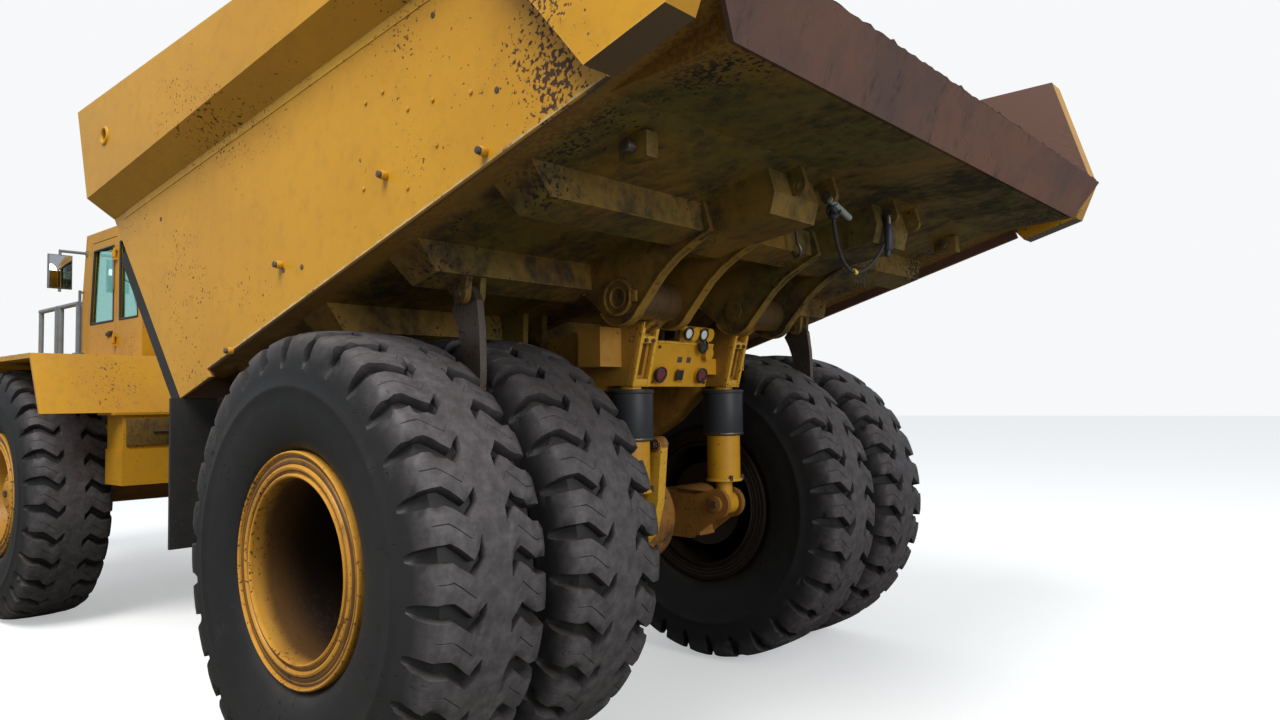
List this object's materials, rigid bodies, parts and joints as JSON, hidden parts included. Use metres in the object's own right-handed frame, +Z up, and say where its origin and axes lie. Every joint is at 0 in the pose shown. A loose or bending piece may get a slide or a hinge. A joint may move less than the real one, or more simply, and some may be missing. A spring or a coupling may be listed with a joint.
{
  "type": "articulated dump truck",
  "caption": "Two-axle articulated dump truck with a tipping load bin, twin rear tyres, steering hitch, tilting hood and hinged cab door.",
  "frame": {"origin": "on the ground, below the middle of the truck's length and width", "axes": "+X forward, +Y to the left, +Z up"},
  "size_m": [11.1, 4.502, 3.937],
  "materials": {
    "yellow_paint": "chalky weathered yellow paint with rust pits and soot",
    "rim_paint": "ochre wheel paint with rust runs",
    "axle_castings": "orange-brown painted castings, oily and rusted",
    "strut_paint": "yellow paint with black boots",
    "rusted_plate": "brown rusted wear plate",
    "tyre_rubber": "worn dusty rubber",
    "black_rubber": "dull black rubber sheet",
    "cable_sheath": "dull black sheath",
    "bare_steel": "weathered steel",
    "cylinder_rods": "polished rods",
    "engine_grey": "dark castings",
    "black_trim": "satin black",
    "cab_glazing": "green-tinted safety glass",
    "cab_trim": "dark cab trim",
    "grey_tube": "grey painted tube"
  },
  "bodies": {
    "rear_frame": {"rear_frame": "yellow_paint", "tail_panel": "yellow_paint", "rear_axle": "axle_castings", "rear_struts": "strut_paint"},
    "bin": {"bin_floor": "yellow_paint", "bin_walls": "yellow_paint", "bin_headboard": "yellow_paint", "bin_rails": "yellow_paint", "tail_fascia": "rusted_plate", "bin_frame": "yellow_paint", "bin_rubbers": "black_rubber", "cable": "cable_sheath", "cable_ends": "bare_steel"},
    "rock_ejector_l": {"rock_ejector_l": "bare_steel"},
    "rock_ejector_r": {"rock_ejector_r": "bare_steel"},
    "hoist_barrel_l": {"hoist_barrel_l": "yellow_paint"},
    "hoist_barrel_r": {"hoist_barrel_r": "yellow_paint"},
    "hoist_rod_l": {"hoist_rod_l": "cylinder_rods"},
    "hoist_rod_r": {"hoist_rod_r": "cylinder_rods"},
    "rear_wheel_l": {"rear_tyres_l": "tyre_rubber", "rear_rims_l": "rim_paint"},
    "rear_wheel_r": {"rear_tyres_r": "tyre_rubber", "rear_rims_r": "rim_paint"},
    "front_wheel_l": {"front_tyre_l": "tyre_rubber", "front_rim_l": "rim_paint"},
    "front_wheel_r": {"front_tyre_r": "tyre_rubber", "front_rim_r": "rim_paint"},
    "hitch": {"hitch": "yellow_paint"},
    "steer_barrel_l": {"steer_barrel_l": "yellow_paint"},
    "steer_barrel_r": {"steer_barrel_r": "yellow_paint"},
    "steer_rod_l": {"steer_rod_l": "cylinder_rods"},
    "steer_rod_r": {"steer_rod_r": "cylinder_rods"},
    "front_frame": {"front_frame": "yellow_paint", "front_axle": "axle_castings", "engine": "engine_grey", "front_decks": "yellow_paint", "bumper": "black_trim", "cab_shell": "yellow_paint", "cab_glass": "cab_glazing", "cab_interior": "cab_trim", "service_boxes": "yellow_paint", "grab_rails": "grey_tube"},
    "hood": {"hood": "yellow_paint", "grille": "black_trim"},
    "cab_door": {"cab_door": "yellow_paint", "door_glass": "cab_glazing"}
  },
  "joints": [
    {"name": "bin_tip", "type": "hinge", "parent": "rear_frame", "child": "bin", "pos_m": [-3.9, 0, 2.372], "axis": [0, -1, 0], "range_deg": [0, 55]},
    {"name": "rock_ejector_l_swing", "type": "hinge", "parent": "bin", "child": "rock_ejector_l", "pos_m": [-3.6281, 1.542, 2.3478], "axis": [0, -1, 0], "range_deg": [-28, 20]},
    {"name": "hoist_l_pivot", "type": "hinge", "parent": "rear_frame", "child": "hoist_barrel_l", "pos_m": [-2.776, 0.64, 0.986], "axis": [0, -1, 0], "range_deg": [-4, 2]},
    {"name": "hoist_l_stroke", "type": "slide", "parent": "hoist_barrel_l", "child": "hoist_rod_l", "axis": [-0.2159, 0, 0.9764], "range_m": [0, 0.84]},
    {"name": "rear_wheel_l_spin", "type": "hinge", "parent": "rear_frame", "child": "rear_wheel_l", "pos_m": [-3.2, 1.921, 1.087], "axis": [0, 1, 0], "continuous": true},
    {"name": "front_wheel_l_spin", "type": "hinge", "parent": "front_frame", "child": "front_wheel_l", "pos_m": [2.3, 1.7, 1.087], "axis": [0, 1, 0], "continuous": true},
    {"name": "steer_l_pivot", "type": "hinge", "parent": "front_frame", "child": "steer_barrel_l", "pos_m": [1.7, 0.33, 1.187], "axis": [0, 0, 1], "range_deg": [-9, 9]},
    {"name": "steer_l_stroke", "type": "slide", "parent": "steer_barrel_l", "child": "steer_rod_l", "axis": [-0.9991, 0.0416, 0], "range_m": [-0.265, 0.265]},
    {"name": "rock_ejector_r_swing", "type": "hinge", "parent": "bin", "child": "rock_ejector_r", "pos_m": [-3.6281, -1.542, 2.3478], "axis": [0, -1, 0], "range_deg": [-28, 20]},
    {"name": "hoist_r_pivot", "type": "hinge", "parent": "rear_frame", "child": "hoist_barrel_r", "pos_m": [-2.776, -0.64, 0.986], "axis": [0, -1, 0], "range_deg": [-4, 2]},
    {"name": "hoist_r_stroke", "type": "slide", "parent": "hoist_barrel_r", "child": "hoist_rod_r", "axis": [-0.2159, 0, 0.9764], "range_m": [0, 0.84]},
    {"name": "rear_wheel_r_spin", "type": "hinge", "parent": "rear_frame", "child": "rear_wheel_r", "pos_m": [-3.2, -1.921, 1.087], "axis": [0, 1, 0], "continuous": true},
    {"name": "front_wheel_r_spin", "type": "hinge", "parent": "front_frame", "child": "front_wheel_r", "pos_m": [2.3, -1.7, 1.087], "axis": [0, 1, 0], "continuous": true},
    {"name": "steer_r_pivot", "type": "hinge", "parent": "front_frame", "child": "steer_barrel_r", "pos_m": [1.7, -0.33, 1.187], "axis": [0, 0, 1], "range_deg": [-9, 9]},
    {"name": "steer_r_stroke", "type": "slide", "parent": "steer_barrel_r", "child": "steer_rod_r", "axis": [-0.9991, -0.0416, 0], "range_m": [-0.265, 0.265]},
    {"name": "frame_oscillation", "type": "hinge", "parent": "rear_frame", "child": "hitch", "pos_m": [0.75, 0, 1.197], "axis": [1, 0, 0], "range_deg": [-15, 15]},
    {"name": "articulation", "type": "hinge", "parent": "hitch", "child": "front_frame", "pos_m": [0.75, 0, 1.187], "axis": [0, 0, 1], "range_deg": [-42, 42]},
    {"name": "hood_tilt", "type": "hinge", "parent": "front_frame", "child": "hood", "pos_m": [5.34, 0, 1.692], "axis": [0, 1, 0], "range_deg": [0, 55]},
    {"name": "cab_door_swing", "type": "hinge", "parent": "front_frame", "child": "cab_door", "pos_m": [2.546, 0.985, 2.887], "axis": [0, 0, 1], "range_deg": [0, 80]}
  ],
  "couplings": [
    {"joint": "hoist_l_pivot", "follows": "bin_tip", "ratio": -0.04},
    {"joint": "hoist_l_stroke", "follows": "bin_tip", "m_per_rad": 0.8657},
    {"joint": "steer_l_pivot", "follows": "articulation", "ratio": -0.196},
    {"joint": "steer_l_stroke", "follows": "articulation", "m_per_rad": -0.3535},
    {"joint": "hoist_r_pivot", "follows": "bin_tip", "ratio": -0.04},
    {"joint": "hoist_r_stroke", "follows": "bin_tip", "m_per_rad": 0.8657},
    {"joint": "steer_r_pivot", "follows": "articulation", "ratio": -0.196},
    {"joint": "steer_r_stroke", "follows": "articulation", "m_per_rad": 0.3535}
  ]
}
